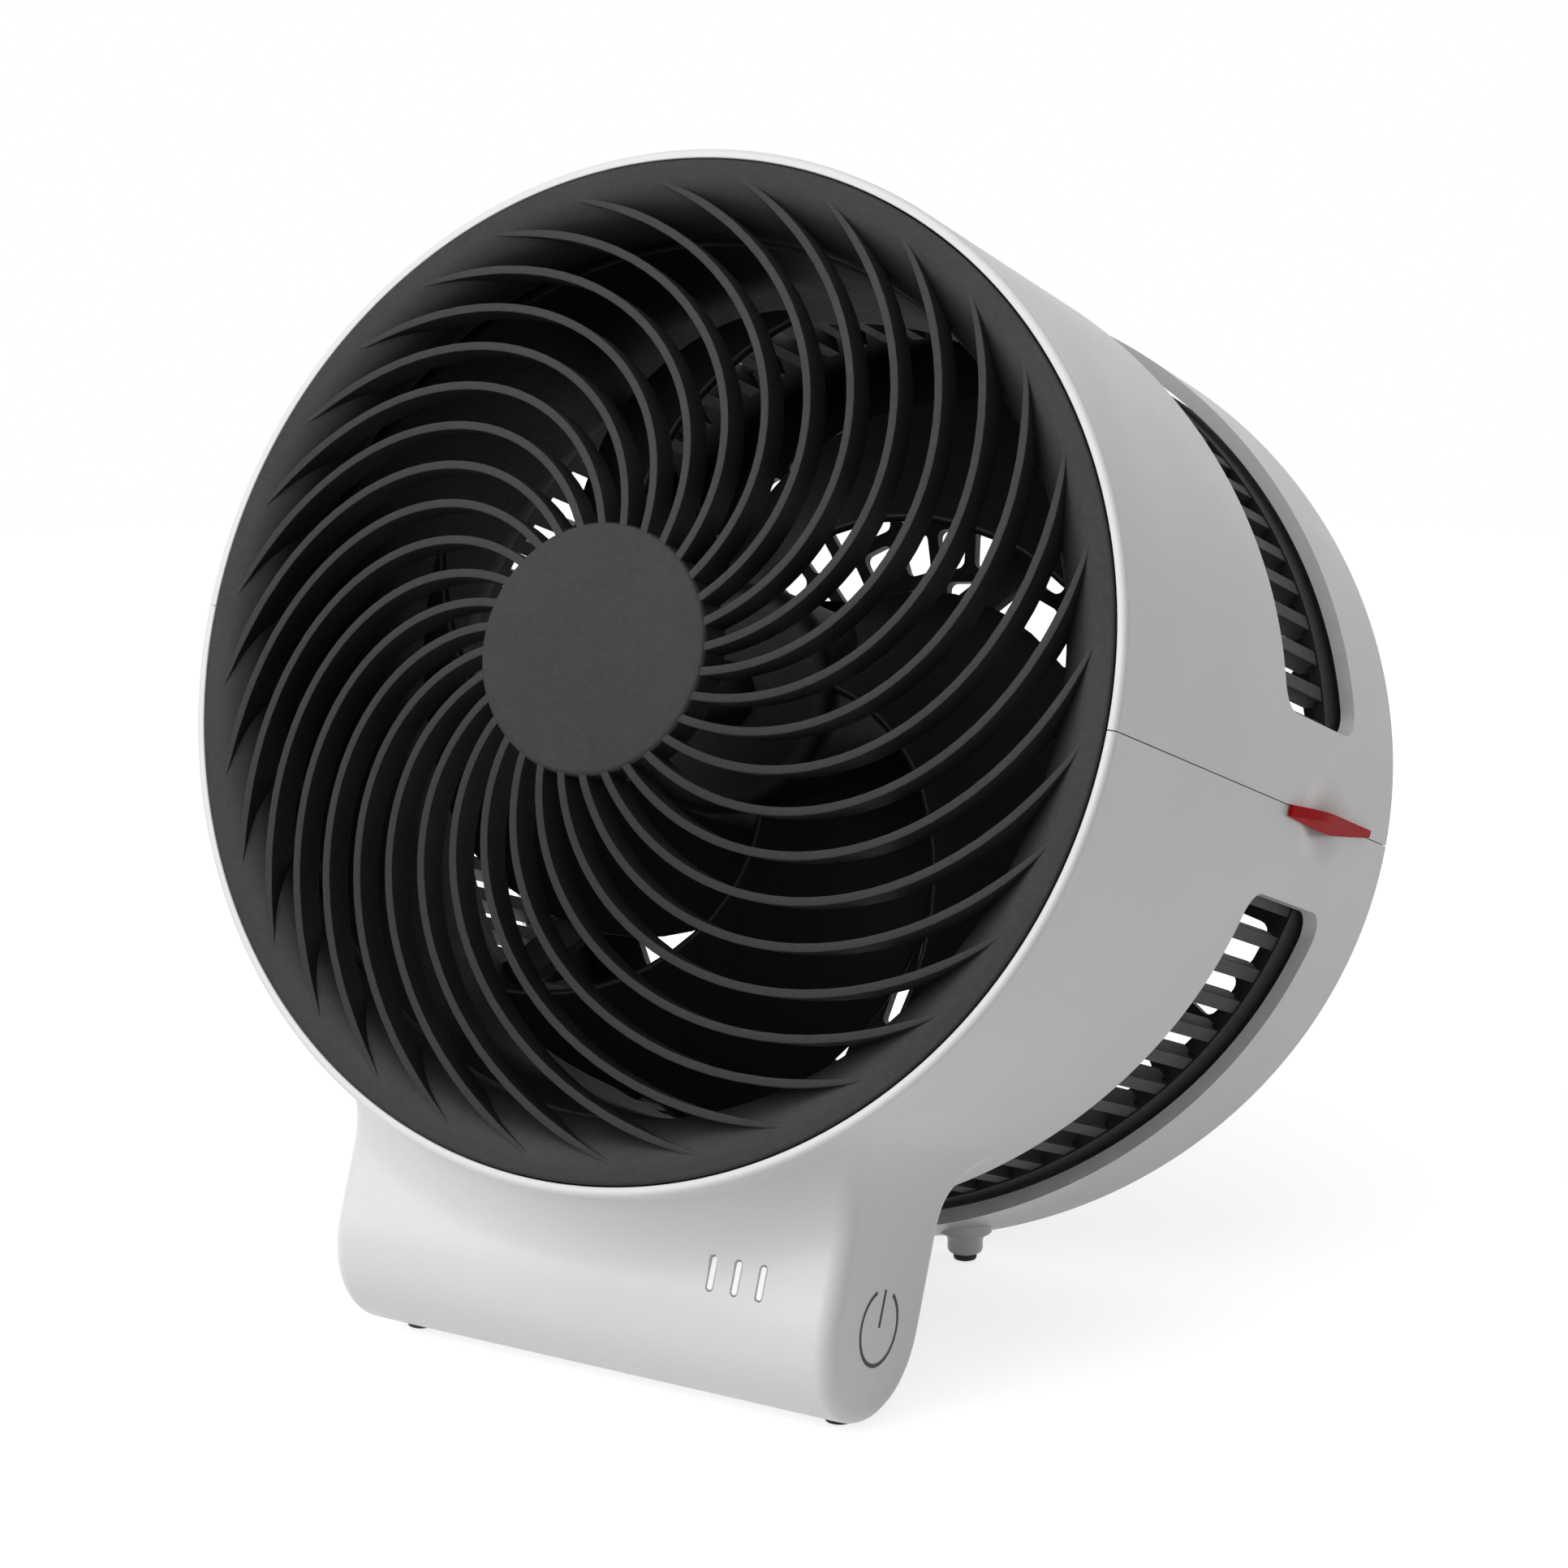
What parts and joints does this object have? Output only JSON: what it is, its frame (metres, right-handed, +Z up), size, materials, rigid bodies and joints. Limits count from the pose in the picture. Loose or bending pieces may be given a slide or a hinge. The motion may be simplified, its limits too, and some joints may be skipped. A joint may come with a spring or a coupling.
{
  "type": "air circulator fan",
  "caption": "Compact table fan: a tilted white drum on a wide leg, with a black spiral front grille, a basket guard at the back and long intake slots.",
  "frame": {"origin": "on the table, under the middle of the fan's outline", "axes": "+Z up, +X to the fan's own left as it blows, the fan blows towards -Y and slightly up"},
  "size_m": [0.262, 0.2476, 0.2972],
  "materials": {
    "white_plastic": "fine satin",
    "black_plastic": "fine satin",
    "dark_plastic": "satin",
    "red_plastic": "gloss",
    "light_plastic": "translucent white",
    "rubber": "matt",
    "steel": "plain",
    "copper": "enamelled wire",
    "ferrite": "matt",
    "board": "solder mask"
  },
  "bodies": {
    "housing": {"lower_shell": "white_plastic", "leg_cover": "white_plastic", "front_grille": "black_plastic", "rear_guard": "black_plastic", "side_guard": "black_plastic", "air_duct": "black_plastic", "motor_bracket": "black_plastic", "front_bearing": "steel", "rear_bearing": "steel", "motor_mount": "steel", "stator_core": "ferrite", "front_winding": "copper", "rear_winding": "copper", "motor_board": "board", "motor_screw_1": "steel", "motor_screw_2": "steel", "motor_screw_3": "steel", "guard_screw_1": "steel", "guard_screw_2": "steel", "guard_screw_3": "steel", "guard_screw_4": "steel", "light_bar_1": "light_plastic", "light_bar_2": "light_plastic", "light_bar_3": "light_plastic", "light_board": "board", "control_board": "board", "touch_board": "board", "power_inlet": "dark_plastic", "cover_screw_left": "steel", "cover_screw_right": "steel", "foot_pad_front_left": "rubber", "foot_pad_front_right": "rubber", "foot_pad_rear_left": "rubber", "foot_pad_rear_right": "rubber"},
    "rotor": {"impeller": "dark_plastic", "spinner_nut": "dark_plastic", "rotor_cup": "steel", "magnet_ring": "ferrite", "motor_shaft": "steel", "shaft_clip": "steel"},
    "upper_casing": {"upper_shell": "white_plastic"},
    "latch_right": {"latch_tab_right": "red_plastic"},
    "latch_left": {"latch_tab_left": "red_plastic"}
  },
  "joints": [
    {"name": "rotor_spin", "type": "hinge", "parent": "housing", "child": "rotor", "pos_m": [0, -0.01584, 0.15475], "axis": [0, -0.9252, 0.3795], "continuous": true},
    {"name": "casing_lift", "type": "slide", "parent": "housing", "child": "upper_casing", "axis": [0, 0.3795, 0.9252], "range_m": [0, 0.16]},
    {"name": "latch_right_slide", "type": "slide", "parent": "housing", "child": "latch_right", "axis": [-0.0148, 0.9251, -0.3794], "range_m": [0, 0.006]},
    {"name": "latch_left_slide", "type": "slide", "parent": "housing", "child": "latch_left", "axis": [0.0148, 0.9251, -0.3794], "range_m": [0, 0.006]}
  ]
}
